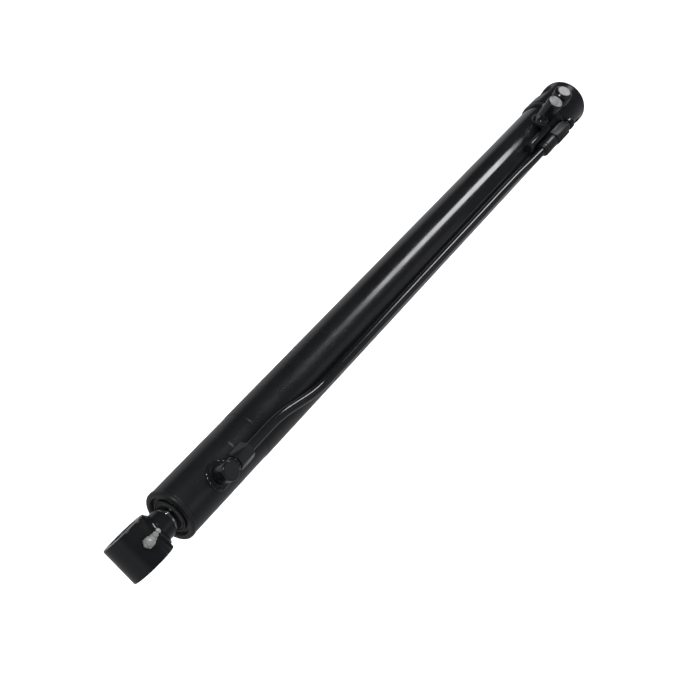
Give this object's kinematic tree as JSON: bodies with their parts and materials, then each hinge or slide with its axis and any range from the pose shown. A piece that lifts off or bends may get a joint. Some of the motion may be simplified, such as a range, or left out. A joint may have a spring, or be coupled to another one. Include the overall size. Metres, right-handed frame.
{
  "type": "hydraulic lift cylinder",
  "caption": "Double-acting hydraulic cylinder with pin eyes at both ends, a chromed rod, and a steel line along the barrel to side-by-side base ports.",
  "frame": {"origin": "centre of the base pin bore, on the cylinder's axis", "axes": "+X along the cylinder from the base pin to the rod pin, Y along the pins, +Z to the side the ports face"},
  "size_m": [1.1475, 0.077, 0.1376],
  "materials": {
    "black_paint": "gloss black enamel",
    "rod_chrome": "hard chrome, polished",
    "machined_steel": "turned steel",
    "zinc_fitting": "bright zinc plate",
    "bare_port_face": "bare machined face, dusted",
    "bushing_steel": "plain steel bushing",
    "seal_rubber": "matt nitrile",
    "bearing_plastic": "filled nylon"
  },
  "bodies": {
    "barrel_assembly": {"barrel": "black_paint", "base_cap": "black_paint", "base_weld_bead": "black_paint", "base_bushing": "bushing_steel", "head_gland": "black_paint", "rod_wiper": "seal_rubber", "rod_seal": "seal_rubber", "rod_guide_ring": "bearing_plastic", "gland_o_ring": "seal_rubber", "gland_backup_ring": "bearing_plastic", "base_grease_body": "zinc_fitting", "base_grease_nipple": "zinc_fitting", "rod_port_pad": "black_paint", "rod_port_weld": "black_paint", "rod_port_elbow": "black_paint", "rod_line_nut": "black_paint", "rod_line_ferrule": "machined_steel", "steel_line": "black_paint", "line_sleeve": "black_paint", "base_line_nut": "black_paint", "base_line_ferrule": "machined_steel", "line_adapter": "black_paint", "line_block": "black_paint", "port_tee": "black_paint", "port_tee_weld": "black_paint", "port_tee_plug": "bare_port_face", "tee_run_plug": "black_paint", "cap_port_boss": "black_paint", "cap_port_plug": "bare_port_face"},
    "piston_seals": {"piston_seal": "bearing_plastic", "piston_wear_ring_back": "bearing_plastic", "piston_wear_ring_front": "bearing_plastic"},
    "rod_assembly": {"piston_rod": "rod_chrome", "piston": "machined_steel", "piston_bore_o_ring": "seal_rubber", "piston_lock_nut": "machined_steel", "rod_eye": "black_paint", "rod_eye_shank": "black_paint", "rod_eye_weld": "black_paint", "rod_eye_bushing": "bushing_steel", "rod_grease_body": "zinc_fitting", "rod_grease_nipple": "zinc_fitting"}
  },
  "joints": [
    {"name": "rod_slide", "type": "slide", "parent": "barrel_assembly", "child": "piston_seals", "axis": [1, 0, 0], "range_m": [0, 0.813]},
    {"name": "rod_swivel", "type": "hinge", "parent": "piston_seals", "child": "rod_assembly", "pos_m": [0, 0, 0], "axis": [1, 0, 0], "continuous": true}
  ]
}
